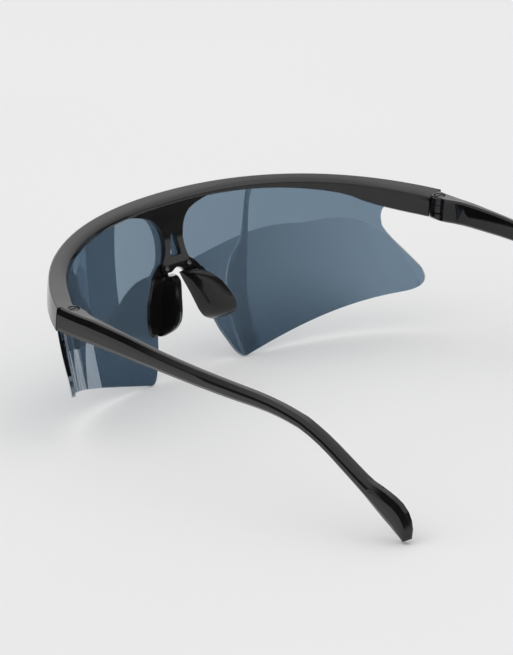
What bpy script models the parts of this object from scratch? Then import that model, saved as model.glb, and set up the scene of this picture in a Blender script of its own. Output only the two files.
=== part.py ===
"""Half-rim shield sunglasses: brow bar, one wrap lens, nose pads and two folding temples.

Every shape is drawn in the brow frame: x to the wearer's left, y from the front of the brow
back to the ears, z up, with the top of the brow bar level at its centre. At the end the whole
object is turned about x and lifted, so that it stands on the lens corners and the temple tips.
"""
import math

import bmesh
import bpy
from mathutils import Matrix, Vector

OBJECT_NAME = "half_rim_shield_sunglasses"

# Overall sizes, metres
FRAME_WIDTH = 0.140          # across the top edge of the brow bar at its ends
BROW_DEPTH = 0.0382          # front of the brow to the end of the bar, front to back
BROW_DROP = 0.0026           # how far the brow top falls from its centre to its ends
TEMPLE_REACH = 0.1263        # hinge axis to temple tip, front to back
TEMPLE_DROP = 0.0151         # temple centre line, hinge to tip, downwards
LENS_HEIGHT = 0.0448         # top of the brow down to the inner lower lens corners

# Brow bar
BROW_ROUNDNESS = 2.082       # exponent of the plan curve, 2 is an ellipse
BAR_DEPTH = 0.0053           # front to back, at the hinge
BAR_HEIGHT = 0.0066          # top edge to bottom edge, at the hinge
BAR_BULGE = 0.00015          # swell of the outer face, at the hinge
BAR_TOP_FALL = 0.0008        # fall of the top face from front to back
BAR_EDGE = 0.0005            # rounding of the rear edges
BAR_STATIONS = 48

# Lens
LENS_THICKNESS = 0.0010
LENS_SETBACK = 0.0035        # rear lens face behind the brow top edge at the centre
LENS_BELLY = 0.00216         # how far the lens swells to the front between top and bottom
LENS_ROUNDNESS = 2.648
LENS_RAKE = 0.388            # how far the lens leans back per unit of height
LENS_TOP_DEPTH = 0.0012      # top lens edge below the top edge of the bar, at the centre
LENS_INSERTION = 0.0016      # how far the lens reaches up into the bar at its outer ends
LENS_STEP = 0.0042           # width of one lens facet
LENS_BANDS = 7               # facets from the brow top down to the lowest lens edge
LENS_LOWER_BOW = 0.00135
LENS_INNER_CUT = 0.0040      # how far back the rounding of the inner lower corner starts
LENS_OUTER_CUT = 0.0060

# Stem and bridge foot behind the lens
STEM_FRONT = 0.0003
STEM_REAR = 0.0020
FOOT_REAR = 0.0017
STEM_WAIST = 0.0033          # half width at the narrowest place
STEM_LENGTH = 0.0192         # brow top down to the underside of the foot

# Nose pads
PAD_PLATE = 0.0019           # thickness of the nose plate
PAD_FLANGE = 0.0013          # thickness of the flange along the lens
PAD_BULGE = 0.0013           # swell of the nose face
PAD_HEIGHT = 0.0136
PAD_REACH = 0.0076           # how far the plate stands behind the lens
PAD_RISE = 0.35              # rise of the pad layers per unit behind the lens
EAR_THICKNESS = 0.0005       # ear of the pad between lens and foot

# Lens pins
PIN_RADIUS = 0.00045
PIN_FRONT_HEAD_RADIUS = 0.0012
PIN_REAR_HEAD_RADIUS = 0.0007
PIN_HEAD_HEIGHT = 0.0004

# Temples
TEMPLE_HEIGHT = 0.0065
TEMPLE_THICKNESS = 0.0025
TEMPLE_RIDGE = 0.0005        # how far the long ridge stands out of the outer face
TEMPLE_EDGE = 0.0006         # rounding of the long edges
TEMPLE_SPLAY = 0.0089        # outward lean of the temple per unit of length
SPLIT_SKEW = 0.173           # lean of the split line between bar and temple

# Hinges
AXIS_INSET = 0.0033          # axis inside the outer face of the temple
AXIS_SETBACK = 0.0028        # axis behind the end of the bar
KNUCKLE_RADIUS = 0.0022
TONGUE_RADIUS = 0.0019
TONGUE_HEIGHT = 0.0020
TONGUE_ROOT = 0.0020         # how far the tongue is sunk into the bar
SCREW_RADIUS = 0.0006
SCREW_HEAD_RADIUS = 0.0013
SCREW_HEAD_HEIGHT = 0.0007
SCREW_SLOT_WIDTH = 0.0004
SCREW_SLOT_DEPTH = 0.0003

# Clearances
TOUCH_GAP = 0.0003           # between pieces that lie on one another
BORE_GAP = 0.0003            # around pins and screws

# Cutting
CUT_OVERRUN = 0.0020         # how far a cutter runs past the faces it cuts
SNAP = 0.000001              # points nearer than this are one point

# Plan curves of brow and lens: half width and depth of the whole curve, against the brow's own sizes
BROW_LATE_FALL = 0.55         # how much of the fall of the brow top is kept for its ends
BROW_CURVE_SHARE = 1.1024
LENS_CURVE_SHARES = (1.0710, 1.2497)

# Brow bar: share of the half width, then shares of the bar sizes at the hinge
BAR_SHARES = (
    # half width, depth, rear height, front height, bulge
    (0.00, 0.94, 0.31, 0.44, 4.00),
    (0.20, 0.90, 0.315, 0.45, 3.80),
    (0.40, 0.82, 0.345, 0.49, 3.80),
    (0.54, 0.79, 0.40, 0.55, 4.40),
    (0.68, 0.79, 0.51, 0.65, 4.60),
    (0.77, 0.82, 0.635, 0.76, 3.80),
    (0.83, 0.86, 0.86, 0.91, 2.20),
    (0.91, 0.94, 0.99, 1.00, 1.20),
    (1.00, 1.00, 1.00, 1.00, 1.00),
)

# Lens outline, shares of half the frame width and of the lens height
LENS_INNER_CORNER_SHARE = (0.2240, 0.9888)
LENS_OUTER_CORNER_SHARE = (0.9330, 0.6385)
LENS_NOSE_SHARE = (0.1657, 0.8147)
LENS_TOP_CORNER_SHARE = 0.875
LENS_SIDE_SHARES = ((0.8600, 0.1853), (0.8514, 0.1964), (0.8443, 0.2188), (0.8400, 0.2500),
                    (0.8390, 0.2790), (0.8400, 0.3125), (0.8457, 0.3371), (0.8543, 0.3661),
                    (0.8743, 0.4196), (0.8929, 0.4710), (0.9090, 0.5210))

# Lens notch over the nose, shares of the stem's waist half width and length
LENS_NOTCH_SHARES = ((0.0, 0.9375), (0.515, 0.9453), (0.818, 0.979), (1.091, 1.031), (1.485, 1.094),
                     (1.818, 1.162), (2.242, 1.302))

# Stem outline, shares of the waist half width and of the stem length
STEM_SHARES = (
    (4.85, 0.104), (3.79, 0.141), (2.88, 0.182), (2.18, 0.229), (1.70, 0.292), (1.36, 0.365),
    (1.12, 0.458), (1.00, 0.562), (1.015, 0.656), (1.12, 0.740), (1.28, 0.807), (1.44, 0.859),
    (1.545, 0.906), (1.606, 0.948), (1.576, 0.984), (1.394, 1.000), (0.70, 1.000), (0.485, 0.984),
    (0.242, 0.961), (0.0, 0.953),
)
SLOT_SHARES = ((0.14, 0.488), (0.27, 0.500), (0.61, 0.780), (0.55, 0.800))
PIN_PLACE_SHARE = (1.21, 0.9375)

# Stem thickness going down: share of the length, share of the stem's own thickness, share from
# stem to foot
STEM_THICK_SHARES = (
    (0.00, 0.42, 0.0),
    (0.14, 0.50, 0.0),
    (0.28, 0.78, 0.0),
    (0.42, 1.00, 0.0),
    (0.72, 1.00, 0.0),
    (0.84, 1.00, 1.0),
    (1.00, 1.00, 1.0),
)

# Ear of the pad, shares of the stem's waist half width and length
EAR_SHARES = ((0.879, 1.083), (0.879, 0.880), (0.970, 0.8646), (1.576, 0.8646), (1.879, 0.8958),
              (2.242, 0.9479), (2.606, 1.0104), (2.727, 1.083))

# Nose pad, going down: share of the height, then plan shares of the reach
PAD_SHARES = (
    # height, inner edge x, plate tip x, plate tip y, flange edge x
    (0.000, 0.12, 0.55, 0.55, 1.17),
    (0.059, 0.15, 0.684, 0.783, 1.26),
    (0.118, 0.18, 0.795, 0.934, 1.32),
    (0.199, 0.235, 0.899, 1.033, 1.40),
    (0.294, 0.305, 1.01, 1.13, 1.51),
    (0.434, 0.408, 1.12, 1.204, 1.655),
    (0.581, 0.50, 1.225, 1.263, 1.76),
    (0.684, 0.56, 1.297, 1.257, 1.82),
    (0.765, 0.61, 1.35, 1.21, 1.85),
    (0.853, 0.70, 1.414, 1.072, 1.86),
    (0.926, 0.83, 1.47, 0.836, 1.845),
    (1.000, 1.15, 1.47, 0.42, 1.78),
)

# Temple, going back: share of the reach, then shares of the drop, the height, the thickness
# and the flare that makes room for the hinge
TEMPLE_SHARES = (
    (0.0000, 0.000, 1.00, 1.00, 1.00),
    (0.0200, -0.008, 1.00, 1.00, 0.88),
    (0.0450, -0.018, 1.00, 1.00, 0.52),
    (0.0745, -0.036, 1.00, 1.00, 0.30),
    (0.1000, -0.045, 0.985, 1.00, 0.20),
    (0.1760, -0.069, 0.91, 1.00, 0.00),
    (0.2650, -0.088, 0.785, 1.00, 0.00),
    (0.3830, -0.129, 0.71, 1.00, 0.00),
    (0.4990, -0.195, 0.66, 1.00, 0.00),
    (0.5570, -0.235, 0.615, 1.02, 0.00),
    (0.6130, -0.252, 0.57, 1.05, 0.00),
    (0.6640, -0.233, 0.54, 1.08, 0.00),
    (0.7000, -0.195, 0.525, 1.10, 0.00),
    (0.7580, -0.055, 0.53, 1.12, 0.00),
    (0.8170, 0.148, 0.57, 1.12, 0.00),
    (0.8760, 0.354, 0.66, 1.10, 0.00),
    (0.9105, 0.452, 0.89, 1.08, 0.00),
    (0.9440, 0.550, 1.08, 1.05, 0.00),
    (0.9690, 0.646, 1.10, 0.98, 0.00),
    (0.9865, 0.789, 0.88, 0.85, 0.00),
    (0.9985, 0.940, 0.40, 0.60, 0.00),
)

HALF_WIDTH = FRAME_WIDTH / 2.0
BROW_CURVE_WIDTH = HALF_WIDTH * BROW_CURVE_SHARE
BROW_CURVE_DEPTH = BROW_DEPTH / (
    1.0 - (1.0 - BROW_CURVE_SHARE ** -BROW_ROUNDNESS) ** (1.0 / BROW_ROUNDNESS))
LENS_CURVE_WIDTH = HALF_WIDTH * LENS_CURVE_SHARES[0]
LENS_CURVE_DEPTH = BROW_CURVE_DEPTH * LENS_CURVE_SHARES[1]

PARTS = {}
CUTTERS = {}


def clear_scene():
    for thing in list(bpy.data.objects):
        bpy.data.objects.remove(thing, do_unlink=True)


def new_collection(name):
    group = bpy.data.collections.new(name)
    bpy.context.scene.collection.children.link(group)
    return group


def material(name, colour, roughness, metallic=0.0, alpha=1.0):
    mat = bpy.data.materials.new(name)
    mat.use_nodes = True
    shader = mat.node_tree.nodes["Principled BSDF"]
    shader.inputs["Base Color"].default_value = (*colour, 1.0)
    shader.inputs["Roughness"].default_value = roughness
    shader.inputs["Metallic"].default_value = metallic
    shader.inputs["Alpha"].default_value = alpha
    mat.diffuse_color = (*colour, alpha)
    return mat


def smooth_curve(table, share):
    """Value row of a table at a share, on a smooth curve through all of its rows."""
    keys = [row[0] for row in table]
    share = min(max(share, keys[0]), keys[-1])
    i = 0
    while i < len(keys) - 2 and share > keys[i + 1]:
        i += 1
    span = keys[i + 1] - keys[i]
    t = (share - keys[i]) / span
    values = []
    for column in range(1, len(table[0])):
        p0 = table[i][column]
        p1 = table[i + 1][column]
        if i > 0:
            m0 = (p1 - table[i - 1][column]) / (keys[i + 1] - keys[i - 1]) * span
        else:
            m0 = p1 - p0
        if i < len(keys) - 2:
            m1 = (table[i + 2][column] - p0) / (keys[i + 2] - keys[i]) * span
        else:
            m1 = p1 - p0
        t2 = t * t
        t3 = t2 * t
        values.append((2 * t3 - 3 * t2 + 1) * p0 + (t3 - 2 * t2 + t) * m0
                      + (3 * t2 - 2 * t3) * p1 + (t3 - t2) * m1)
    return values


def mesh_object(name, verts, faces, group, mat=None, sharp_angle=32.0):
    """Closed mesh object in brow-frame coordinates, with outward faces and sharp creases."""
    mesh = bpy.data.meshes.new(name)
    mesh.from_pydata([tuple(v) for v in verts], [], faces)
    bm = bmesh.new()
    bm.from_mesh(mesh)
    bmesh.ops.recalc_face_normals(bm, faces=bm.faces[:])
    for face in bm.faces:
        face.smooth = True
    for edge in bm.edges:
        if len(edge.link_faces) == 2 and edge.calc_face_angle() > math.radians(sharp_angle):
            edge.smooth = False
    bm.to_mesh(mesh)
    bm.free()
    thing = bpy.data.objects.new(name, mesh)
    group.objects.link(thing)
    if mat is None:
        thing.hide_render = True
        thing.display_type = "WIRE"
        CUTTERS[name] = thing
    if mat is not None:
        mesh.materials.append(mat)
    return thing


def loft(name, rings, group, mat=None, sharp_angle=32.0):
    """Solid through rings with equal point counts, closed by a cap at both ends."""
    count = len(rings[0])
    verts = [point for ring in rings for point in ring]
    faces = []
    for i in range(len(rings) - 1):
        for j in range(count):
            k = (j + 1) % count
            faces.append((i * count + j, i * count + k, (i + 1) * count + k, (i + 1) * count + j))
    faces.append(tuple(range(count)))
    faces.append(tuple(range((len(rings) - 1) * count, len(rings) * count)))
    return mesh_object(name, verts, faces, group, mat, sharp_angle)


def prism(name, outline, low, high, group, mat=None):
    """Upright solid over a plan outline."""
    rings = [[Vector((x, y, z)) for x, y in outline] for z in (low, high)]
    return loft(name, rings, group, mat)


def box(name, low, high, group):
    outline = [(low[0], low[1]), (high[0], low[1]), (high[0], high[1]), (low[0], high[1])]
    return prism(name, outline, low[2], high[2], group)


def turned(name, base, axis, profile, group, mat=None, segments=24):
    """Solid of revolution: profile rows are radius and distance along the axis from base."""
    axis = Vector(axis).normalized()
    side = axis.orthogonal().normalized()
    other = axis.cross(side)
    rings = []
    for radius, height in profile:
        ring = []
        for i in range(segments):
            angle = 2.0 * math.pi * i / segments
            ring.append(Vector(base) + axis * height
                        + radius * (math.cos(angle) * side + math.sin(angle) * other))
        rings.append(ring)
    return loft(name, rings, group, mat)


def boolean(target, cutter, operation):
    mod = target.modifiers.new(operation.lower() + "_" + cutter.name, "BOOLEAN")
    mod.operation = operation
    mod.solver = "EXACT"
    mod.object = cutter


def plan_curve(x, width, depth, power):
    """Depth and slope of a rounded plan curve at a place across."""
    share = min(abs(x) / width, 0.9995)
    root = 1.0 - share ** power
    y = depth * (1.0 - root ** (1.0 / power))
    slope = depth / width * share ** (power - 1.0) * root ** (1.0 / power - 1.0)
    return y, math.copysign(slope, x)


def brow_z(x):
    """Level of the top of the bar, falling from its centre to its ends."""
    share = (x / HALF_WIDTH) ** 2
    return -BROW_DROP * (share - BROW_LATE_FALL * (share - share * share))


def lens_point(x, z, offset):
    """Point at a distance behind the rear lens face, over the place x, z of that face."""
    y, slope = plan_curve(x, LENS_CURVE_WIDTH, LENS_CURVE_DEPTH, LENS_ROUNDNESS)
    down = -z / LENS_HEIGHT
    belly = 4.0 * LENS_BELLY * down * (1.0 - down)
    lean = LENS_RAKE - 4.0 * LENS_BELLY * (1.0 - 2.0 * down) / LENS_HEIGHT
    normal = Vector((-slope, 1.0, lean)).normalized()
    return Vector((x, LENS_SETBACK + y - LENS_RAKE * z - belly, z)) + normal * offset


def lens_cuts(outline):
    """Places across at which a plate over the outline is folded to follow the lens."""
    reach = max(abs(x) for x, z in outline)
    places = []
    x = -reach
    while x < reach:
        turn = 0.9 * min(abs(x) / LENS_CURVE_WIDTH, 1.0) * math.pi / 2.0
        x += LENS_STEP * math.cos(turn) + 0.2 * LENS_STEP
        places.append(x)
    return places


def plate(name, outline, across, levels, front, rear, group, mat=None):
    """Plate along the lens, over an outline in x and z, between two distances behind its face."""
    bm = bmesh.new()
    bm.faces.new([bm.verts.new((x, 0.0, z)) for x, z in outline])
    cuts = [((x, 0.0, 0.0), (1.0, 0.0, 0.0)) for x in across]
    cuts += [((0.0, 0.0, z), (0.0, 0.0, 1.0)) for z in levels]
    for spot, normal in cuts:
        geometry = bm.verts[:] + bm.edges[:] + bm.faces[:]
        bmesh.ops.bisect_plane(bm, geom=geometry, plane_co=spot, plane_no=normal, dist=SNAP)
    bmesh.ops.triangulate(bm, faces=bm.faces[:])
    bm.verts.index_update()
    count = len(bm.verts)
    flat = [(v.co.x, v.co.z) for v in bm.verts]
    verts = [lens_point(x, z, front(x, z)) for x, z in flat]
    verts += [lens_point(x, z, rear(x, z)) for x, z in flat]
    faces = []
    for face in bm.faces:
        ids = [v.index for v in face.verts]
        faces.append(tuple(ids))
        faces.append(tuple(i + count for i in reversed(ids)))
    for edge in bm.edges:
        if len(edge.link_faces) == 1:
            a, b = (v.index for v in edge.verts)
            faces.append((a, b, b + count, a + count))
    bm.free()
    return mesh_object(name, verts, faces, group, mat)


def lens_sheet(name, outline, front, rear, group, mat=None):
    """Even plate along the lens between two distances behind its rear face."""
    levels = [-LENS_HEIGHT * i / LENS_BANDS for i in range(1, LENS_BANDS)]
    return plate(name, outline, lens_cuts(outline), levels, lambda x, z: front, lambda x, z: rear,
                 group, mat)


def mirrored(points):
    """Whole closed outline from its half at positive x, given from the top round to the middle."""
    left = [(-x, z) for x, z in reversed(points) if x > SNAP]
    return list(points) + left


def lens_top(x):
    """Level of the top lens edge, hidden inside the bar."""
    rear = BAR_HEIGHT * smooth_curve(BAR_SHARES, x / HALF_WIDTH)[1]
    return brow_z(x) - max(LENS_TOP_DEPTH, rear - LENS_INSERTION)


def lens_outline(grow):
    """Half the lens outline in x and z; grow widens its hidden top and reaches below the foot."""
    def place(share):
        return Vector((share[0] * HALF_WIDTH, -share[1] * LENS_HEIGHT))

    inner = place(LENS_INNER_CORNER_SHARE)
    outer = place(LENS_OUTER_CORNER_SHARE)
    end_x = HALF_WIDTH * LENS_TOP_CORNER_SHARE
    points = []
    steps = 22
    for i in range(steps + 1):
        x = end_x * i / steps
        points.append((x, lens_top(x) + grow))
    points[-1] = (end_x + grow, points[-1][1])
    points.append((end_x + grow, lens_top(end_x) - 0.65 * LENS_INSERTION))
    side = [place(share) for share in LENS_SIDE_SHARES]
    points += [(spot.x + grow, spot.y) for spot in side]
    lower = []
    for i in range(2, 12):
        t = i / 12.0
        spot = outer.lerp(inner, t)
        lower.append(Vector((spot.x, spot.y - LENS_LOWER_BOW * 4.0 * t * (1.0 - t))))
    points += round_between(side[-1], outer, lower[0], LENS_OUTER_CUT)
    points += lower[:-1]
    nose = place(LENS_NOSE_SHARE)
    points += round_between(lower[-1], inner, nose, LENS_INNER_CUT)
    points.append(nose)
    for across, down in reversed(LENS_NOTCH_SHARES):
        points.append((across * STEM_WAIST, -down * STEM_LENGTH - 8.0 * grow))
    return [(point[0], point[1]) for point in points]


def round_between(before, corner, after, radius, steps=6):
    corner = Vector(corner)
    back = Vector(before) - corner
    ahead = Vector(after) - corner
    start = corner + back.normalized() * min(radius, back.length * 0.95)
    end = corner + ahead.normalized() * min(radius, ahead.length * 0.95)
    arc = []
    for k in range(steps + 1):
        t = k / steps
        arc.append(start * (1 - t) ** 2 + corner * 2 * t * (1 - t) + end * t ** 2)
    return arc


def bar_stations():
    """Places across, at equal steps along the curved bar from its right end to its left end."""
    fine = 600
    length = [0.0]
    for i in range(fine):
        x = HALF_WIDTH * (i + 0.5) / fine
        slope = plan_curve(x, BROW_CURVE_WIDTH, BROW_CURVE_DEPTH, BROW_ROUNDNESS)[1]
        length.append(length[-1] + HALF_WIDTH / fine * math.hypot(1.0, slope))
    half = BAR_STATIONS // 2
    places = []
    for k in range(half + 1):
        goal = length[-1] * k / half
        i = min(range(fine + 1), key=lambda n: abs(length[n] - goal))
        places.append(HALF_WIDTH * i / fine)
    return [-x for x in reversed(places[1:])] + places


def bar_ring(x):
    """Section of the brow bar at a place across."""
    y, slope = plan_curve(x, BROW_CURVE_WIDTH, BROW_CURVE_DEPTH, BROW_ROUNDNESS)
    inward = Vector((-slope, 1.0, 0.0)).normalized()
    turn = min(max((abs(x) / HALF_WIDTH - 0.93) / 0.07, 0.0), 1.0)
    end_way = Vector((-math.copysign(1.0, x), SPLIT_SKEW, 0.0)).normalized()
    inward = inward.lerp(end_way, turn * turn * (3.0 - 2.0 * turn)).normalized()
    depth_share, rear_share, front_share, bulge_share = smooth_curve(BAR_SHARES, abs(x) / HALF_WIDTH)
    depth = BAR_DEPTH * depth_share
    rear = BAR_HEIGHT * rear_share
    front = BAR_HEIGHT * front_share
    bulge = BAR_BULGE * bulge_share
    fall = BAR_TOP_FALL
    rows = (
        (0.50 * BAR_EDGE, 0.0),
        (0.45 * depth, 0.40 * fall),
        (depth - BAR_EDGE, fall),
        (depth - 0.24 * BAR_EDGE, fall + 0.32 * BAR_EDGE),
        (depth, fall + BAR_EDGE),
        (depth, rear - 0.70 * BAR_EDGE),
        (depth - 0.80 * BAR_EDGE, rear),
        (0.50 * depth, 0.5 * (rear + front)),
        (0.60 * BAR_EDGE - 0.5 * bulge, front),
        (-0.80 * bulge, front - 0.90 * BAR_EDGE),
        (-bulge, 0.62 * front),
        (-0.86 * bulge, 0.36 * front),
        (-0.50 * bulge, 0.15 * front),
        (-0.10 * bulge, 0.30 * BAR_EDGE),
    )
    top = Vector((x, y, brow_z(x)))
    return [top + inward * n - Vector((0.0, 0.0, down)) for n, down in rows]


def bar_end():
    """Outer top edge point at the end of the bar."""
    return Vector((HALF_WIDTH, BROW_DEPTH, brow_z(HALF_WIDTH)))


def hinge_axis():
    end = bar_end()
    return Vector((end.x - AXIS_INSET, end.y + AXIS_SETBACK, end.z))


def tongue_levels():
    middle = bar_end().z - 0.53 * BAR_HEIGHT
    return middle - TONGUE_HEIGHT / 2.0, middle + TONGUE_HEIGHT / 2.0


def circle(centre, radius, start, stop, steps):
    points = []
    for i in range(steps + 1):
        angle = math.radians(start + (stop - start) * i / steps)
        points.append((centre.x + radius * math.cos(angle), centre.y + radius * math.sin(angle)))
    return points


def flip_x(thing):
    """Mirror a mesh to the other side, keeping its faces outward."""
    bm = bmesh.new()
    bm.from_mesh(thing.data)
    for vert in bm.verts:
        vert.co.x = -vert.co.x
    bmesh.ops.reverse_faces(bm, faces=bm.faces[:])
    bm.to_mesh(thing.data)
    bm.free()


def build_brow(parts, cutters, mat):
    brow = loft("brow_frame", [bar_ring(x) for x in bar_stations()], parts, mat)
    boolean(brow, stem_solid("stem_body", cutters), "UNION")
    slot = mirrored([(w * STEM_WAIST, -h * STEM_LENGTH) for w, h in SLOT_SHARES])
    boolean(brow, lens_sheet("stem_slot", slot, -CUT_OVERRUN, STEM_REAR + CUT_OVERRUN, cutters), "DIFFERENCE")
    seat = lens_sheet("lens_seat", mirrored(lens_outline(TOUCH_GAP)), -LENS_THICKNESS - TOUCH_GAP,
                      STEM_FRONT, cutters)
    boolean(brow, seat, "DIFFERENCE")

    low, high = tongue_levels()
    axis = hinge_axis()
    end = bar_end()
    for side, name in ((1.0, "left"), (-1.0, "right")):
        made = []
        tongue = circle(axis, TONGUE_RADIUS, -30.0, 210.0, 16)
        tongue += [(axis.x - 0.85 * TONGUE_RADIUS, end.y - TONGUE_ROOT)]
        tongue += [(axis.x + 0.85 * TONGUE_RADIUS, end.y - TONGUE_ROOT)]
        made.append((prism("tongue_" + name, tongue, low, high, cutters), "UNION"))
        clear = circle(axis, KNUCKLE_RADIUS + TOUCH_GAP, 0.0, 345.0, 23)
        made.append((prism("knuckle_room_top_" + name, clear, high, end.z + CUT_OVERRUN, cutters),
                     "DIFFERENCE"))
        made.append((prism("knuckle_room_low_" + name, clear, end.z - 2.0 * BAR_HEIGHT, low, cutters),
                     "DIFFERENCE"))
        bore = circle(axis, SCREW_RADIUS + BORE_GAP, 0.0, 345.0, 23)
        made.append((prism("tongue_bore_" + name, bore, low - CUT_OVERRUN, high + CUT_OVERRUN, cutters),
                     "DIFFERENCE"))
        for cutter, operation in made:
            if side < 0.0:
                flip_x(cutter)
            boolean(brow, cutter, operation)
    return brow


def stem_rear(x, z):
    """Rear face of stem and foot, as a distance behind the rear lens face."""
    own, foot = smooth_curve(STEM_THICK_SHARES, -z / STEM_LENGTH)
    return STEM_REAR * own + (FOOT_REAR - STEM_REAR) * foot


def stem_solid(name, group):
    """Stem plate from the bar down to its foot; its front is cut back by the lens seat later."""
    outline = mirrored([(w * STEM_WAIST, -h * STEM_LENGTH) for w, h in STEM_SHARES])
    across = [STEM_WAIST * share for share in (-3.3, -2.2, -1.3, -0.65, 0.0, 0.65, 1.3, 2.2, 3.3)]
    levels = [-STEM_LENGTH * (0.12 + 0.08 * i) for i in range(11)]
    return plate(name, outline, across, levels, lambda x, z: -0.5 * LENS_THICKNESS, stem_rear, group)


def pin_place(side):
    x = side * PIN_PLACE_SHARE[0] * STEM_WAIST
    z = -PIN_PLACE_SHARE[1] * STEM_LENGTH
    base = lens_point(x, z, 0.0)
    axis = (lens_point(x, z, LENS_THICKNESS) - base).normalized()
    return base, axis


def pin_hole(side, name, group):
    base, axis = pin_place(side)
    reach = FOOT_REAR + CUT_OVERRUN
    radius = PIN_RADIUS + BORE_GAP
    return turned("pin_hole_" + name, base, axis, ((radius, -reach), (radius, reach)), group)


def build_lens(parts, cutters, mat):
    lens = lens_sheet("shield_lens", mirrored(lens_outline(0.0)), -LENS_THICKNESS, 0.0, parts, mat)
    for side, name in ((1.0, "left"), (-1.0, "right")):
        hole = pin_hole(side, name, cutters)
        boolean(lens, hole, "DIFFERENCE")
        boolean(PARTS["brow_frame"], hole, "DIFFERENCE")
    return lens


def build_pin(side, name, parts, mat):
    base, axis = pin_place(side)
    front = -LENS_THICKNESS - TOUCH_GAP
    rear = FOOT_REAR + TOUCH_GAP
    head = PIN_HEAD_HEIGHT
    profile = (
        (0.6 * PIN_FRONT_HEAD_RADIUS, front - head),
        (PIN_FRONT_HEAD_RADIUS, front - 0.45 * head),
        (PIN_FRONT_HEAD_RADIUS, front),
        (PIN_RADIUS, front),
        (PIN_RADIUS, rear),
        (PIN_REAR_HEAD_RADIUS, rear),
        (PIN_REAR_HEAD_RADIUS, rear + 0.45 * head),
        (0.55 * PIN_REAR_HEAD_RADIUS, rear + 0.9 * head),
    )
    return turned(name, base, axis, profile, parts, mat, 20)


def pad_top():
    return -STEM_LENGTH - 1.3 * TOUCH_GAP


def pad_ring(share):
    """Layer of a nose pad: nose face, rounded rear edge, outer face and flange along the lens."""
    inner, tip_x, tip_y, flange = smooth_curve(PAD_SHARES, share)
    level = pad_top() - PAD_HEIGHT * share
    inner *= PAD_REACH
    tip_x *= PAD_REACH
    tip_y *= PAD_REACH
    flange *= PAD_REACH
    gap = 1.6 * TOUCH_GAP
    base = lens_point(inner, level, 0.0).y + gap

    def face(x):
        y = base
        for _ in range(8):
            y = lens_point(x, level + PAD_RISE * max(0.0, y - base), 0.0).y + gap
        return y

    start = Vector((inner, base))
    tip = Vector((tip_x, base + tip_y))
    along = tip - start
    nose = Vector((-along.y, along.x)).normalized()
    bulge = PAD_BULGE * min(1.0, along.length / (1.05 * PAD_REACH)) ** 1.5
    thick = min(PAD_PLATE, 0.40 * (flange - inner), 0.42 * along.length)
    lip = min(PAD_FLANGE, 0.30 * tip_y)

    def spot(run, out):
        return tuple(start + along * run + nose * out)

    outer = spot(0.45, 0.72 * bulge - thick)
    fold = spot(0.80, 0.42 * bulge - thick)
    corner_x = min(max(outer[0], start.x + 0.55 * (flange - start.x)), flange - PAD_FLANGE)
    corner_y = min(face(corner_x) + 1.30 * lip, 0.5 * (fold[1] + face(corner_x)))
    rim_x = 0.5 * (corner_x + flange)
    rows = [
        (start.x + 0.30 * thick, face(start.x + 0.30 * thick)),
        spot(0.05, 0.05 * bulge),
        spot(0.24, 0.66 * bulge),
        spot(0.48, bulge),
        spot(0.72, 0.84 * bulge),
        spot(0.91, 0.36 * bulge),
        spot(1.00, -0.22 * thick),
        spot(0.955, -0.62 * thick),
        fold,
        (corner_x, corner_y),
        (rim_x, face(rim_x) + min(0.98 * lip, 0.9 * (corner_y - face(corner_x)))),
        (flange - 0.30 * PAD_FLANGE, face(flange) + 0.80 * lip),
        (flange, face(flange) + 0.45 * lip),
        (flange - 0.25 * PAD_FLANGE, face(flange)),
        (0.5 * (inner + flange), face(0.5 * (inner + flange))),
    ]
    return [Vector((x, y, level + PAD_RISE * max(0.0, y - base))) for x, y in rows]


def build_pad(side, name, parts, cutters, mat):
    shares = (0.0, 0.02, 0.05, 0.10, 0.18, 0.28, 0.38, 0.48, 0.58, 0.68, 0.77, 0.85, 0.91, 0.955, 0.985, 1.0)
    rings = [pad_ring(share) for share in shares]
    centre = sum((p for p in rings[0]), Vector()) / len(rings[0])
    rings.insert(0, [centre.lerp(p, 0.90) for p in rings[0]])
    rings[1] = [p - Vector((0.0, 0.0, 0.15 * PAD_FLANGE)) for p in rings[1]]
    pad = loft(name, rings, parts, mat, 38.0)
    ear = ear_plate("pad_ear_" + name, 0.0, cutters)
    pocket = ear_plate("ear_pocket_" + name, TOUCH_GAP, cutters)
    if side < 0.0:
        for thing in (pad, ear, pocket):
            flip_x(thing)
    boolean(pad, ear, "UNION")
    boolean(pad, CUTTERS["pin_hole_" + ("left" if side > 0.0 else "right")], "DIFFERENCE")
    boolean(PARTS["brow_frame"], pocket, "DIFFERENCE")
    return pad


def grown(outline, grow):
    """Closed outline with every side moved outward; the outline runs clockwise in x and z."""
    points = [Vector(point) for point in outline]
    moved = []
    for i, point in enumerate(points):
        back = (point - points[i - 1]).normalized()
        ahead = (points[(i + 1) % len(points)] - point).normalized()
        way = Vector((-back.y - ahead.y, back.x + ahead.x)).normalized()
        moved.append(point + way * grow / max(way.dot(Vector((-back.y, back.x))), 0.5))
    return [(point.x, point.y) for point in moved]


def ear_plate(name, grow, group):
    """Thin ear along the rear lens face, from inside the top of the pad up between lens and foot."""
    outline = grown([(w * STEM_WAIST, -h * STEM_LENGTH) for w, h in EAR_SHARES], grow)
    return lens_sheet(name, outline, TOUCH_GAP - grow, TOUCH_GAP + EAR_THICKNESS + grow, group)


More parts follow.
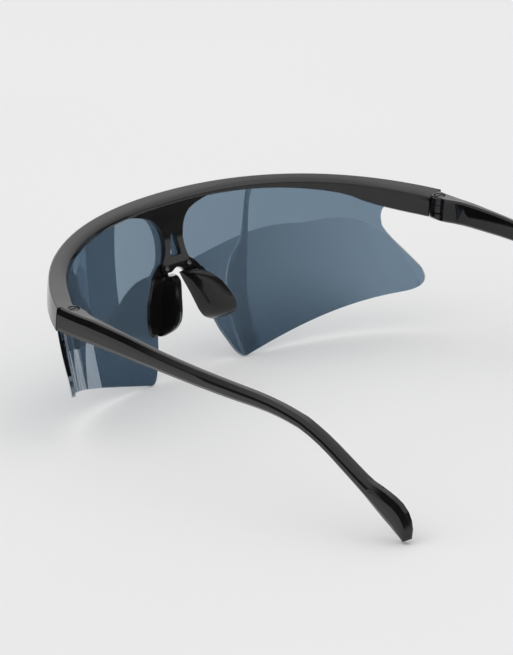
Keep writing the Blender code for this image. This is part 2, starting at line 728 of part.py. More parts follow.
def temple_ring(share):
    """Section of the left temple; shares below zero lead from the axis forward to the bar."""
    drop, height_share, thick_share, flare = smooth_curve(TEMPLE_SHARES, share)
    step = 0.2 * TEMPLE_SHARES[1][0]
    last = TEMPLE_SHARES[-1][0]
    low = max(min(share - step, last), 0.0)
    high = max(min(share + step, last), step)
    fall = smooth_curve(TEMPLE_SHARES, high)[0] - smooth_curve(TEMPLE_SHARES, low)[0]
    slope = Vector((0.0, TEMPLE_REACH * (high - low), -fall * TEMPLE_DROP)).normalized()
    up = Vector((0.0, -slope.z, slope.y))
    axis = hinge_axis()
    end = bar_end()
    if share < 0.0:
        y = axis.y + share * (AXIS_SETBACK - 1.2 * TOUCH_GAP)
        up = Vector((0.0, 0.0, 1.0))
    else:
        y = axis.y + share * TEMPLE_REACH
    middle = end.z - 0.505 * BAR_HEIGHT - drop * TEMPLE_DROP
    centre = Vector((end.x + TEMPLE_SPLAY * (y - end.y), y, middle))
    height = TEMPLE_HEIGHT * height_share
    thick = TEMPLE_THICKNESS * thick_share
    thick += flare * (AXIS_INSET + KNUCKLE_RADIUS - thick)
    lean = min(1.0, max(0.0, (0.09 - share) / 0.09))
    ridge = TEMPLE_RIDGE + (BAR_BULGE - TEMPLE_RIDGE) * lean
    edge = TEMPLE_EDGE * min(1.0, thick / TEMPLE_THICKNESS, height / (0.5 * TEMPLE_HEIGHT))
    rows = (
        (0.60 * edge, -0.47),
        (1.40 * edge, -0.50),
        (thick - 1.15 * edge, -0.50),
        (thick - 0.16 * edge, -0.40),
        (thick, 0.00),
        (thick - 0.16 * edge, 0.42),
        (thick - edge, 0.50),
        (2.00 * edge, 0.50),
        (edge, 0.46),
        (-0.62 * ridge, 0.24),
        (-ridge, 0.08),
        (-0.98 * ridge, -0.02),
        (-0.55 * ridge, -0.28),
    )
    return [centre + up * (t * height) + Vector((-d, SPLIT_SKEW * lean * d, 0.0)) for d, t in rows]


def build_temple(side, name, parts, cutters, mat):
    shares = [-1.0, -0.5, 0.004, 0.014, 0.025, 0.034, 0.043, 0.053, 0.063, 0.074, 0.088,
              0.105, 0.13, 0.174, 0.22, 0.27, 0.33, 0.39, 0.45, 0.51, 0.56, 0.60, 0.63, 0.66, 0.69, 0.72,
              0.75, 0.78, 0.81, 0.84, 0.865, 0.885, 0.905, 0.925, 0.945, 0.96, 0.972, 0.982, 0.990, 0.9955,
              0.9985]
    rings = [temple_ring(share) for share in shares]
    temple = loft(name, rings, parts, mat)
    low, high = tongue_levels()
    axis = hinge_axis()
    end = bar_end()
    far = 2.0 * (AXIS_INSET + KNUCKLE_RADIUS)
    floor = end.z - 3.0 * BAR_HEIGHT
    roof = end.z + BAR_HEIGHT
    made = []
    nose = [(axis.x - far, axis.y - far), (axis.x, axis.y - far)]
    nose += circle(axis, KNUCKLE_RADIUS, -90.0, -180.0, 10)
    nose += [(axis.x - far, axis.y)]
    made.append(prism("knuckle_round_" + name, nose, floor, roof, cutters))
    relief = circle(axis, KNUCKLE_RADIUS, 180.0, 126.0, 6)
    relief.append((axis.x - 0.60 * KNUCKLE_RADIUS, axis.y + 1.45 * KNUCKLE_RADIUS))
    relief += [(axis.x - far, axis.y + 3.2 * KNUCKLE_RADIUS), (axis.x - far, axis.y)]
    made.append(prism("knuckle_relief_" + name, relief, floor, roof, cutters))
    reach = TONGUE_RADIUS + TOUCH_GAP
    made.append(box("tongue_room_" + name, (axis.x - far, axis.y - far, low - TOUCH_GAP),
                    (axis.x + reach, axis.y + reach, high + TOUCH_GAP), cutters))
    bore = circle(axis, SCREW_RADIUS + BORE_GAP, 0.0, 345.0, 23)
    made.append(prism("temple_bore_" + name, bore, floor, roof, cutters))
    sink = circle(axis, SCREW_HEAD_RADIUS + BORE_GAP, 0.0, 345.0, 23)
    made.append(prism("head_sink_" + name, sink, head_top() - SCREW_HEAD_HEIGHT - TOUCH_GAP, roof, cutters))
    for cutter in made:
        if side < 0.0:
            flip_x(cutter)
        boolean(temple, cutter, "DIFFERENCE")
    if side < 0.0:
        flip_x(temple)
    return temple


def head_top():
    return bar_end().z - 0.505 * BAR_HEIGHT + 0.5 * TEMPLE_HEIGHT - 0.15 * TOUCH_GAP


def build_screw(side, name, parts, cutters, mat):
    axis = hinge_axis()
    base = Vector((axis.x, axis.y, 0.0))
    top = head_top()
    tail = bar_end().z - 0.505 * BAR_HEIGHT - 0.5 * TEMPLE_HEIGHT + TOUCH_GAP
    profile = (
        (0.8 * SCREW_RADIUS, tail),
        (SCREW_RADIUS, tail + 0.3 * SCREW_RADIUS),
        (SCREW_RADIUS, top - SCREW_HEAD_HEIGHT),
        (SCREW_HEAD_RADIUS, top - SCREW_HEAD_HEIGHT),
        (SCREW_HEAD_RADIUS, top - 0.2 * SCREW_HEAD_HEIGHT),
        (SCREW_HEAD_RADIUS - 0.2 * SCREW_HEAD_HEIGHT, top),
    )
    screw = turned(name, base, (0, 0, 1), profile, parts, mat, 24)
    wide = SCREW_SLOT_WIDTH / 2.0
    long = 1.5 * SCREW_HEAD_RADIUS
    slot = box("screw_slot_" + name, (axis.x - long, axis.y - wide, top - SCREW_SLOT_DEPTH),
               (axis.x + long, axis.y + wide, top + SCREW_HEAD_HEIGHT), cutters)
    if side < 0.0:
        flip_x(screw)
        flip_x(slot)
    boolean(screw, slot, "DIFFERENCE")
    return screw


def lowest(points, angle):
    turn = Matrix.Rotation(-angle, 4, "X")
    return min((turn @ p).z for p in points)


def stance():
    """Place that puts lens corners and temple tips on z = 0, with x = y = 0 under the middle."""
    brow = [v.co.copy() for v in PARTS["brow_frame"].data.vertices]
    lens = [v.co.copy() for v in PARTS["shield_lens"].data.vertices]
    temple = [v.co.copy() for v in PARTS["temple_left"].data.vertices]
    low = math.radians(-20.0)
    high = math.radians(40.0)
    for _ in range(50):
        angle = 0.5 * (low + high)
        if lowest(temple, angle) > lowest(lens, angle):
            low = angle
        else:
            high = angle
    turn = Matrix.Rotation(-angle, 4, "X")
    floor = min(lowest(lens, angle), lowest(temple, angle))
    front = min((turn @ p).y for p in brow)
    back = max((turn @ p).y for p in temple)
    return Matrix.Translation((0.0, -0.5 * (front + back), -floor)) @ turn


def set_on_table(pose):
    axis = hinge_axis()
    for name, thing in list(PARTS.items()) + list(CUTTERS.items()):
        origin = Vector((0.0, 0.0, 0.0))
        if name.startswith(("temple_", "hinge_screw_")):
            side = -1.0 if name.endswith("right") else 1.0
            origin = Vector((side * axis.x, axis.y, axis.z))
            thing.data.transform(Matrix.Translation(-origin))
        thing.matrix_world = pose @ Matrix.Translation(origin)


def build():
    clear_scene()
    parts = new_collection(OBJECT_NAME)
    cutters = new_collection("cutters")
    black = material("gloss_black_frame", (0.012, 0.012, 0.014), 0.14)
    smoke = material("smoke_blue_lens", (0.085, 0.125, 0.175), 0.05, 0.0, 0.62)
    pad_black = material("gloss_black_pad", (0.012, 0.011, 0.012), 0.16)
    temple_black = material("gloss_black_temple", (0.011, 0.011, 0.013), 0.12)
    dark_steel = material("blackened_screw", (0.045, 0.045, 0.05), 0.35, 0.9)
    pin_steel = material("dull_steel_pin", (0.20, 0.20, 0.21), 0.35, 0.9)

    PARTS["brow_frame"] = build_brow(parts, cutters, black)
    PARTS["shield_lens"] = build_lens(parts, cutters, smoke)
    for side, name in ((1.0, "left"), (-1.0, "right")):
        PARTS["nose_pad_" + name] = build_pad(side, "nose_pad_" + name, parts, cutters, pad_black)
        PARTS["lens_pin_" + name] = build_pin(side, "lens_pin_" + name, parts, pin_steel)
        PARTS["temple_" + name] = build_temple(side, "temple_" + name, parts, cutters, temple_black)
        PARTS["hinge_screw_" + name] = build_screw(side, "hinge_screw_" + name, parts, cutters, dark_steel)
    set_on_table(stance())
    bpy.context.view_layer.update()


build()
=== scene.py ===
"""Looks of the shield sunglasses: finishes, smooth pieces, table, studio and the photograph's view."""
import math

import bmesh
import bpy
from mathutils import Matrix, Vector


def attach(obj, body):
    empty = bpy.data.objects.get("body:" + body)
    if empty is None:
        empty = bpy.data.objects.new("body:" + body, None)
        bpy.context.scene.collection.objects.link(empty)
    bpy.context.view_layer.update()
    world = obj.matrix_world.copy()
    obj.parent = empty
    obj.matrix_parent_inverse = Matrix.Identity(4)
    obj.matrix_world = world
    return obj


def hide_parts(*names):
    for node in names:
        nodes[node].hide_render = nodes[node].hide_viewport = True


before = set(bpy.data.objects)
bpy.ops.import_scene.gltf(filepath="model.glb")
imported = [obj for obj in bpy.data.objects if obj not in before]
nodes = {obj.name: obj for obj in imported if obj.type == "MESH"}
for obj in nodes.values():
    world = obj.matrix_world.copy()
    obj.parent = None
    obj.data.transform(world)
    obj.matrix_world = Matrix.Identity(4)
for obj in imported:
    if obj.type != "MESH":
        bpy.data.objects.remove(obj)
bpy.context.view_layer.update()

# Sizes in metres, in the lens's own frame: x across, y from the brow to the ears, z up
HALF_WIDTH = 0.070
BROW_DROP = 0.0026
BROW_LATE_FALL = 0.55
BAR_HEIGHT = 0.0066
LENS_HEIGHT = 0.0448
LENS_THICKNESS = 0.0010
LENS_SETBACK = 0.0035
LENS_BELLY = 0.00216
LENS_ROUNDNESS = 2.648
LENS_RAKE = 0.388
LENS_CURVE_WIDTH = 0.07497
LENS_CURVE_DEPTH = 0.08571
LENS_TOP_DEPTH = 0.0012
LENS_INSERTION = 0.0016
LENS_LOWER_BOW = 0.00135
LENS_INNER_CUT = 0.0040
LENS_OUTER_CUT = 0.0060
LENS_CELL = 0.0012            # width of one cell of the smooth lens
LENS_SHADE_LEAN = 0.028       # how much less the polished face leans, as its reflections show
STEM_WAIST = 0.0033
STEM_LENGTH = 0.0192

# How the sunglasses stand: leant forward on the lower lens corners
STANCE_LEAN = math.radians(-9.066515)
STANCE_SHIFT = (0.0, -0.081216, 0.046725)

# Shares of the half width, and of the height of the rear of the bar at the hinge
BAR_REAR_SHARES = ((0.00, 0.31), (0.20, 0.315), (0.40, 0.345), (0.54, 0.40), (0.68, 0.51),
                   (0.77, 0.635), (0.83, 0.86), (0.91, 0.99), (1.00, 1.00))
# Shares of the half width and of the lens height
LENS_INNER_CORNER_SHARE = (0.2240, 0.9888)
LENS_OUTER_CORNER_SHARE = (0.9330, 0.6385)
LENS_NOSE_SHARE = (0.1657, 0.8147)
LENS_TOP_CORNER_SHARE = 0.875
LENS_SIDE_SHARES = ((0.8600, 0.1853), (0.8514, 0.1964), (0.8443, 0.2188), (0.8400, 0.2500),
                    (0.8390, 0.2790), (0.8400, 0.3125), (0.8457, 0.3371), (0.8543, 0.3661),
                    (0.8743, 0.4196), (0.8929, 0.4710), (0.9090, 0.5210))
# Shares of the stem's waist half width and length
LENS_NOTCH_SHARES = ((0.0, 0.9375), (0.515, 0.9453), (0.818, 0.979), (1.091, 1.031), (1.485, 1.094),
                     (1.818, 1.162), (2.242, 1.302))

# Steps of the lens outline, and the first step of its lower edge past the rounded outer corner
LENS_TOP_STEPS = 60
LENS_LOWER_STEPS = 24
LENS_LOWER_START = 4
LENS_END_TUCK = 0.65          # share of the insertion by which the top ends are drawn down
CORNER_REACH = 0.95           # share of a side that a rounded corner may take at most

# Meshes
SHARP_ANGLE = math.radians(35.0)
RIDGE_ANGLE = math.radians(16.0)
LENS_RIM_ANGLE = math.radians(50.0)
FLAT_ANGLE = math.radians(0.2)
WELD_DISTANCE = 0.000002
CELL_WELD_DISTANCE = 0.00002
SOFT_EDGE = 0.00012           # rounding of the moulded edges

# Pale table: its edges that the lens mirrors, by compass direction and distance, the rounding between
# them, and the compass direction past which the table goes on
FLOOR_SIZE = 16.0
FLOOR_HEIGHT = -0.0003
TABLE_EDGES = ((math.radians(72.0), 0.150), (math.radians(6.0), 0.37))
TABLE_EDGE_BLUR = 0.004
TABLE_CORNER = 0.12
TABLE_TURN = (math.radians(92.0), math.radians(96.0))

# Backdrop, and the room that gloss sees: greys, and the compass directions and heights between which
# they change
BACKDROP_GREY = 0.90
FAR_WALL_GREY = 1.25
FAR_WALL_TURN = (math.radians(-95.0), math.radians(-125.0))
NEAR_WALL_GREYS = (0.04, 0.74)
NEAR_WALL_TURN = (math.radians(-52.0), math.radians(50.0))
WALL_END_SHARE = 0.12
WALL_END_TURN = (math.radians(66.0), math.radians(74.0))
UPPER_WALL_SHARE = 0.35
UPPER_WALL_RISE = (0.05, 0.26)
CEILING_GREY = 0.9
CEILING_RISE = (0.55, 0.80)


# Node helpers

def material(name):
    mat = bpy.data.materials.new(name)
    mat.use_nodes = True
    return mat, mat.node_tree.nodes, mat.node_tree.links, mat.node_tree.nodes["Principled BSDF"]


def noise(tree_nodes, links, scale, detail, vector):
    tex = tree_nodes.new("ShaderNodeTexNoise")
    tex.inputs["Scale"].default_value = scale
    tex.inputs["Detail"].default_value = detail
    links.new(vector, tex.inputs["Vector"])
    return tex.outputs["Fac"]


def place(tree_nodes):
    return tree_nodes.new("ShaderNodeTexCoord").outputs["Object"]


def spread(tree_nodes, links, value, low, high, start=0.0, stop=1.0, curve="LINEAR"):
    """Map a value from start..stop to low..high."""
    span = tree_nodes.new("ShaderNodeMapRange")
    span.interpolation_type = curve
    span.inputs["From Min"].default_value = start
    span.inputs["From Max"].default_value = stop
    span.inputs["To Min"].default_value = low
    span.inputs["To Max"].default_value = high
    links.new(value, span.inputs["Value"])
    return span.outputs["Result"]


def calculate(tree_nodes, links, operation, first, second):
    """Result of a sum with two terms, each a number or a socket."""
    step = tree_nodes.new("ShaderNodeMath")
    step.operation = operation
    for socket, value in zip(step.inputs, (first, second)):
        if isinstance(value, float):
            socket.default_value = value
        else:
            links.new(value, socket)
    return step.outputs["Value"]


def compass(tree_nodes, links, vector):
    """Compass direction of a vector, from y towards x, and its height."""
    axes = tree_nodes.new("ShaderNodeSeparateXYZ")
    links.new(vector, axes.inputs["Vector"])
    turn = calculate(tree_nodes, links, "ARCTAN2", axes.outputs["X"], axes.outputs["Y"])
    return turn, axes.outputs["Z"]


def colour_ramp(tree_nodes, links, value, first, second):
    """Blend from one colour to another over the middle of a noise's range."""
    ramp = tree_nodes.new("ShaderNodeValToRGB")
    ramp.color_ramp.elements[0].color = (*first, 1.0)
    ramp.color_ramp.elements[1].color = (*second, 1.0)
    ramp.color_ramp.elements[0].position = 0.3
    ramp.color_ramp.elements[1].position = 0.7
    links.new(value, ramp.inputs["Fac"])
    return ramp.outputs["Color"]


def bump(tree_nodes, links, height, strength, distance):
    relief = tree_nodes.new("ShaderNodeBump")
    relief.inputs["Strength"].default_value = strength
    relief.inputs["Distance"].default_value = distance
    links.new(height, relief.inputs["Height"])
    return relief.outputs["Normal"]


# Finishes

def gloss_plastic(name, dark, light, rough):
    """Polished dark plastic with faint changes of tone and polish and a very slight waviness."""
    mat, n, l, shader = material(name)
    where = place(n)
    l.new(colour_ramp(n, l, noise(n, l, 220.0, 3.0, where), dark, light), shader.inputs["Base Color"])
    polish = noise(n, l, 90.0, 4.0, where)
    l.new(spread(n, l, polish, rough * 0.8, rough * 1.25), shader.inputs["Roughness"])
    shader.inputs["IOR"].default_value = 1.5
    l.new(bump(n, l, noise(n, l, 60.0, 1.0, where), 0.03, 0.001), shader.inputs["Normal"])
    return mat


def tinted_lens(name):
    """Smoke blue polished sheet."""
    mat, n, l, shader = material(name)
    tint = noise(n, l, 40.0, 2.0, place(n))
    blue = colour_ramp(n, l, tint, (0.070, 0.115, 0.172), (0.074, 0.121, 0.180))
    l.new(blue, shader.inputs["Base Color"])
    shader.inputs["Roughness"].default_value = 0.0
    shader.inputs["IOR"].default_value = 2.4
    shader.inputs["Specular Tint"].default_value = (0.55, 0.80, 1.0, 1.0)
    shader.inputs["Coat Weight"].default_value = 1.0
    shader.inputs["Coat Roughness"].default_value = 0.0
    shader.inputs["Coat IOR"].default_value = 1.5
    shader.inputs["Transmission Weight"].default_value = 1.0
    return mat


def dark_metal(name, dark, light, rough):
    """Dull metal with a fine grain and a worn tone."""
    mat, n, l, shader = material(name)
    where = place(n)
    l.new(colour_ramp(n, l, noise(n, l, 900.0, 3.0, where), dark, light), shader.inputs["Base Color"])
    wear = noise(n, l, 1500.0, 2.0, where)
    l.new(spread(n, l, wear, rough * 0.8, rough * 1.3), shader.inputs["Roughness"])
    shader.inputs["Metallic"].default_value = 0.9
    l.new(bump(n, l, noise(n, l, 2500.0, 2.0, where), 0.1, 0.0001), shader.inputs["Normal"])
    return mat


frame_black = gloss_plastic("gloss_black_frame", (0.0075, 0.0070, 0.0070), (0.0110, 0.0100, 0.0100), 0.07)
temple_black = gloss_plastic("gloss_black_temple", (0.0045, 0.0045, 0.0050), (0.0075, 0.0075, 0.0080), 0.05)
pad_black = gloss_plastic("gloss_black_pad", (0.0050, 0.0042, 0.0045), (0.0080, 0.0068, 0.0068), 0.08)
smoke_blue = tinted_lens("smoke_blue_lens")
pin_steel = dark_metal("dull_steel_pin", (0.17, 0.17, 0.18), (0.24, 0.24, 0.25), 0.34)
screw_steel = dark_metal("blackened_screw", (0.04, 0.04, 0.044), (0.06, 0.06, 0.065), 0.36)


# Smoothly shaded pieces that stand for the faceted solids

def fine_mesh(name, verts, faces, mat, sharp):
    mesh = bpy.data.meshes.new(name)
    mesh.from_pydata(verts, [], faces)
    mesh.materials.append(mat)
    mesh.shade_smooth()
    mesh.set_sharp_from_angle(angle=sharp)
    thing = bpy.data.objects.new(name, mesh)
    bpy.context.scene.collection.objects.link(thing)
    return thing


def stand_for(thing, node, body):
    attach(thing, body)
    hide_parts(node)
    return thing


def refined(node, body, mat, soft=SOFT_EDGE, sharp=SHARP_ANGLE):
    """Welded copy of a node with soft edges and even shading."""
    bm = bmesh.new()
    bm.from_mesh(nodes[node].data)
    bmesh.ops.remove_doubles(bm, verts=bm.verts, dist=WELD_DISTANCE)
    bmesh.ops.dissolve_limit(bm, angle_limit=FLAT_ANGLE, verts=bm.verts, edges=bm.edges)
    bm.verts.index_update()
    verts = [v.co.copy() for v in bm.verts]
    faces = [[v.index for v in face.verts] for face in bm.faces]
    bm.free()
    thing = fine_mesh(node + "_fine", verts, faces, mat, sharp)
    if soft > 0.0:
        bevel = thing.modifiers.new("soft_edges", "BEVEL")
        bevel.width = soft
        bevel.segments = 2
        bevel.limit_method = "ANGLE"
        bevel.angle_limit = sharp
        bevel.harden_normals = True
        bevel.use_clamp_overlap = True
    return stand_for(thing, node, body)


refined("brow_frame", "front", frame_black)
for side in ("left", "right"):
    refined("nose_pad_" + side, "front", pad_black)
    refined("lens_pin_" + side, "front", pin_steel, 0.0)
    temple = refined("temple_" + side, side + "_temple", temple_black,
                     SOFT_EDGE, RIDGE_ANGLE)
    # The lens in the photograph mirrors the right temple alone
    temple.visible_glossy = side == "right"
    refined("hinge_screw_" + side, side + "_temple", screw_steel, 0.0)


# Lens

def smooth_curve(table, share):
    """Value of a smooth curve through a table of pairs."""
    last = len(table) - 2
    i = min(max(sum(1 for row in table if row[0] <= share) - 1, 0), last)
    spots = [table[min(max(k, 0), last + 1)] for k in (i - 1, i, i + 1, i + 2)]
    width = spots[2][0] - spots[1][0]
    t = (share - spots[1][0]) / width
    start = (spots[2][1] - spots[0][1]) / (spots[2][0] - spots[0][0]) * width
    end = (spots[3][1] - spots[1][1]) / (spots[3][0] - spots[1][0]) * width
    return ((2.0 * t ** 3 - 3.0 * t * t + 1.0) * spots[1][1] + (t ** 3 - 2.0 * t * t + t) * start
            + (3.0 * t * t - 2.0 * t ** 3) * spots[2][1] + (t ** 3 - t * t) * end)


def lens_place(x, z):
    """Point on the rear lens face over x, z, and its normal to the rear."""
    share = abs(x) / LENS_CURVE_WIDTH
    root = 1.0 - share ** LENS_ROUNDNESS
    y = LENS_CURVE_DEPTH * (1.0 - root ** (1.0 / LENS_ROUNDNESS))
    slope = (LENS_CURVE_DEPTH / LENS_CURVE_WIDTH * share ** (LENS_ROUNDNESS - 1.0)
             * root ** (1.0 / LENS_ROUNDNESS - 1.0))
    down = -z / LENS_HEIGHT
    belly = 4.0 * LENS_BELLY * down * (1.0 - down)
    lean = LENS_RAKE - 4.0 * LENS_BELLY * (1.0 - 2.0 * down) / LENS_HEIGHT
    normal = Vector((-math.copysign(slope, x), 1.0, lean)).normalized()
    return Vector((x, LENS_SETBACK + y - LENS_RAKE * z - belly, z)), normal


def lens_top(x):
    """Height of the top edge of the lens, tucked under the rear of the bar."""
    share = (x / HALF_WIDTH) ** 2
    brow = -BROW_DROP * (share - BROW_LATE_FALL * (share - share * share))
    rear = BAR_HEIGHT * smooth_curve(BAR_REAR_SHARES, x / HALF_WIDTH)
    return brow - max(LENS_TOP_DEPTH, rear - LENS_INSERTION)


def curve_through(points, steps=5):
    """Rounded chain through the points, with its ends kept."""
    chain = []
    last = len(points) - 1
    for i in range(last):
        a, b, c, d = (Vector(points[min(max(k, 0), last)]) for k in (i - 1, i, i + 1, i + 2))
        for k in range(steps):
            t = k / steps
            chain.append(0.5 * (2.0 * b + (c - a) * t + (2.0 * a - 5.0 * b + 4.0 * c - d) * t * t
                                + (3.0 * b - a - 3.0 * c + d) * t ** 3))
    chain.append(Vector(points[-1]))
    return chain


def round_between(before, corner, after, radius, steps=14):
    """Rounded corner, as far along each side as the radius says."""
    back = before - corner
    ahead = after - corner
    start = corner + back.normalized() * min(radius, back.length * CORNER_REACH)
    end = corner + ahead.normalized() * min(radius, ahead.length * CORNER_REACH)
    arc = []
    for k in range(steps + 1):
        t = k / steps
        arc.append(start * (1.0 - t) ** 2 + corner * 2.0 * t * (1.0 - t) + end * t ** 2)
    return arc


def lens_outline():
    """Half the lens outline in x and z, from the middle of its top round to the notch."""
    def spot(share):
        return Vector((share[0] * HALF_WIDTH, -share[1] * LENS_HEIGHT))

    inner = spot(LENS_INNER_CORNER_SHARE)
    outer = spot(LENS_OUTER_CORNER_SHARE)
    end_x = HALF_WIDTH * LENS_TOP_CORNER_SHARE
    points = []
    for i in range(LENS_TOP_STEPS + 1):
        x = end_x * i / LENS_TOP_STEPS
        points.append(Vector((x, lens_top(x))))
    points.append(Vector((end_x, lens_top(end_x) - LENS_END_TUCK * LENS_INSERTION)))
    side = [spot(share) for share in LENS_SIDE_SHARES]
    points += curve_through(side)
    lower = []
    for i in range(LENS_LOWER_START, LENS_LOWER_STEPS):
        t = i / LENS_LOWER_STEPS
        straight = outer.lerp(inner, t)
        lower.append(Vector((straight.x, straight.y - LENS_LOWER_BOW * 4.0 * t * (1.0 - t))))
    points += round_between(side[-1], outer, lower[0], LENS_OUTER_CUT)
    points += lower[:-1]
    nose = spot(LENS_NOSE_SHARE)
    points += round_between(lower[-1], inner, nose, LENS_INNER_CUT)
    notch = [Vector((across * STEM_WAIST, -down * STEM_LENGTH)) for across, down in LENS_NOTCH_SHARES]
    points += curve_through([nose] + notch[::-1])
    return points


def smooth_lens():
    """Fine double sheet on the lens surface, through which the pins pass."""
    half = lens_outline()
    outline = half + [Vector((-p.x, p.y)) for p in reversed(half) if p.x > WELD_DISTANCE]
    bm = bmesh.new()
    bm.faces.new([bm.verts.new((p.x, 0.0, p.y)) for p in outline])
    count = int(HALF_WIDTH / LENS_CELL)
    cuts = [((i * LENS_CELL, 0.0, 0.0), (1.0, 0.0, 0.0)) for i in range(-count, count + 1)]
    levels = int(LENS_HEIGHT / LENS_CELL)
    cuts += [((0.0, 0.0, -i * LENS_CELL), (0.0, 0.0, 1.0)) for i in range(1, levels + 1)]
    for where, normal in cuts:
        geometry = bm.verts[:] + bm.edges[:] + bm.faces[:]
        bmesh.ops.bisect_plane(bm, geom=geometry, plane_co=where, plane_no=normal, dist=WELD_DISTANCE)
    bmesh.ops.remove_doubles(bm, verts=bm.verts, dist=CELL_WELD_DISTANCE)
    bm.verts.index_update()
    bm.verts.ensure_lookup_table()
    bm.normal_update()
    total = len(bm.verts)
    flat = [(v.co.x, v.co.z) for v in bm.verts]
    pose = Matrix.Translation(STANCE_SHIFT) @ Matrix.Rotation(STANCE_LEAN, 4, "X")
    turn = pose.to_3x3()
    spots = [lens_place(x, z) for x, z in flat]
    verts = [pose @ (spot - normal * LENS_THICKNESS) for spot, normal in spots]
    verts += [pose @ spot for spot, normal in spots]
    shading = [turn @ Vector((n.x, n.y, n.z - LENS_SHADE_LEAN)).normalized() for spot, n in spots]
    faces = []
    normals = []
    for face in bm.faces:
        rear = [v.index for v in face.verts]
        if face.normal.y < 0.0:
            rear.reverse()
        front = rear[::-1]
        faces.append(front)
        normals += [-shading[i] for i in front]
        faces.append([i + total for i in rear])
        normals += [shading[i] for i in rear]
        for a, b in zip(rear, rear[1:] + rear[:1]):
            edge = bm.edges.get((bm.verts[a], bm.verts[b]))
            if len(edge.link_faces) == 1:
                faces.append([b + total, a + total, a, b])
                normals += [Vector((0.0, 0.0, 0.0))] * 4
    bm.free()
    lens = fine_mesh("shield_lens_fine", verts, faces, smoke_blue, LENS_RIM_ANGLE)
    lens.data.normals_split_custom_set(normals)
    lens.visible_shadow = False
    stand_for(lens, "shield_lens", "front")


smooth_lens()


# Floor and light

def pale_floor():
    """Pale table without end, save that gloss sees the room past its two near edges."""
    bpy.ops.mesh.primitive_plane_add(size=FLOOR_SIZE, location=(0.0, 0.0, FLOOR_HEIGHT))
    floor = bpy.context.object
    floor.name = "floor"
    mat, n, l, shader = material("pale_floor")
    where = place(n)
    pale = colour_ramp(n, l, noise(n, l, 3.0, 2.0, where), (0.80, 0.80, 0.80), (0.82, 0.82, 0.82))
    past = []
    for side, reach in TABLE_EDGES:
        along = n.new("ShaderNodeVectorMath")
        along.operation = "DOT_PRODUCT"
        along.inputs[1].default_value = (math.sin(side), math.cos(side), 0.0)
        l.new(where, along.inputs[0])
        past.append(calculate(n, l, "SUBTRACT", along.outputs["Value"], reach))
    corner = calculate(n, l, "SMOOTH_MAX", past[0], past[1])
    corner.node.inputs[2].default_value = TABLE_CORNER
    off_table = spread(n, l, corner, 0.0, 1.0, 0.0, TABLE_EDGE_BLUR)
    turn, height = compass(n, l, where)
    ahead = spread(n, l, turn, 1.0, 0.0, *TABLE_TURN)
    gloss = n.new("ShaderNodeLightPath").outputs["Is Glossy Ray"]
    cut = calculate(n, l, "MULTIPLY", calculate(n, l, "MULTIPLY", off_table, ahead), gloss)
    l.new(calculate(n, l, "SUBTRACT", 1.0, cut), shader.inputs["Alpha"])
    l.new(pale, shader.inputs["Base Color"])
    shader.inputs["Roughness"].default_value = 0.9
    shader.inputs["Specular IOR Level"].default_value = 0.0
    floor.data.materials.append(mat)


pale_floor()


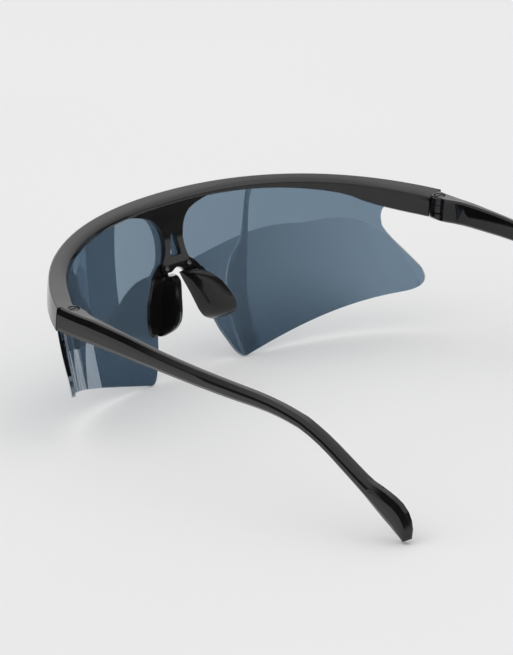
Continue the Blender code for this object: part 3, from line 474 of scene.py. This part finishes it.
def studio_world():
    """White backdrop, save that gloss sees a pale room with dim sides and a bright ceiling."""
    world = bpy.data.worlds.new("studio")
    bpy.context.scene.world = world
    world.use_nodes = True
    n = world.node_tree.nodes
    l = world.node_tree.links

    turn, up = compass(n, l, n.new("ShaderNodeTexCoord").outputs["Generated"])
    far_wall = spread(n, l, turn, 0.0, 1.0, *FAR_WALL_TURN, "SMOOTHSTEP")
    far_wall = calculate(n, l, "MULTIPLY", far_wall, FAR_WALL_GREY)
    near_wall = spread(n, l, turn, *NEAR_WALL_GREYS, *NEAR_WALL_TURN)
    wall_end = spread(n, l, turn, 1.0, WALL_END_SHARE, *WALL_END_TURN, "SMOOTHSTEP")
    upper_wall = spread(n, l, up, 1.0, UPPER_WALL_SHARE, *UPPER_WALL_RISE, "SMOOTHSTEP")
    near_wall = calculate(n, l, "MULTIPLY", calculate(n, l, "MULTIPLY", near_wall, wall_end), upper_wall)
    walls = calculate(n, l, "MAXIMUM", far_wall, near_wall)
    ceiling = spread(n, l, up, 0.0, CEILING_GREY, *CEILING_RISE, "SMOOTHSTEP")
    room = calculate(n, l, "MAXIMUM", walls, ceiling)
    seen = n.new("ShaderNodeMix")
    path = n.new("ShaderNodeLightPath").outputs
    plain = calculate(n, l, "MAXIMUM", path["Is Camera Ray"], path["Is Transmission Ray"])
    l.new(calculate(n, l, "MAXIMUM", plain, path["Is Diffuse Ray"]), seen.inputs["Factor"])
    l.new(room, seen.inputs["A"])
    seen.inputs["B"].default_value = BACKDROP_GREY
    l.new(seen.outputs["Result"], n["Background"].inputs["Strength"])
    n["Background"].inputs["Color"].default_value = (1.0, 1.0, 1.0, 1.0)


studio_world()


def soft_box(name, location, target, width, height, watts):
    """Wide lamp that lights, and isn't mirrored."""
    light = bpy.data.lights.new(name, "AREA")
    light.shape = "RECTANGLE"
    light.size = width
    light.size_y = height
    light.energy = watts
    lamp = bpy.data.objects.new(name, light)
    bpy.context.scene.collection.objects.link(lamp)
    lamp.location = location
    lamp.visible_glossy = False
    lamp.rotation_mode = "QUATERNION"
    lamp.rotation_quaternion = (Vector(location) - Vector(target)).to_track_quat("Z", "Y")


soft_box("over_light", (0.2, -0.3, 1.6), (0.0, 0.0, 0.0), 2.6, 2.6, 6.0)


def dark_card(name, low, high):
    """Dull dark card that only gloss sees."""
    bpy.ops.mesh.primitive_cube_add(size=1.0, location=(Vector(low) + Vector(high)) / 2.0)
    card = bpy.context.object
    card.name = name
    card.scale = Vector(high) - Vector(low)
    mat, n, l, shader = material(name)
    l.new(colour_ramp(n, l, noise(n, l, 3.0, 2.0, place(n)), (0.02, 0.02, 0.022), (0.03, 0.03, 0.033)),
          shader.inputs["Base Color"])
    shader.inputs["Roughness"].default_value = 0.9
    card.data.materials.append(mat)
    card.visible_camera = False
    card.visible_diffuse = False
    card.visible_shadow = False
    card.visible_transmission = False


dark_card("side_card", (-0.125, -0.035, 0.0), (-0.120, 0.021, 0.20))


# Camera, where the photograph was taken from

camera = bpy.data.cameras.new("camera")
camera.lens = 371.678
camera.sensor_width = 36.0
camera.clip_start = 0.1
camera.clip_end = 60.0
eye = bpy.data.objects.new("camera", camera)
bpy.context.scene.collection.objects.link(eye)
eye.matrix_world = Matrix((
    (-0.71943, -0.22978, 0.65546, 1.168366),
    (0.692723, -0.168639, 0.701209, 1.205406),
    (-0.050592, 0.958525, 0.280493, 0.515917),
    (0.0, 0.0, 0.0, 1.0)))
bpy.context.scene.camera = eye

bpy.context.scene.view_settings.view_transform = "Standard"
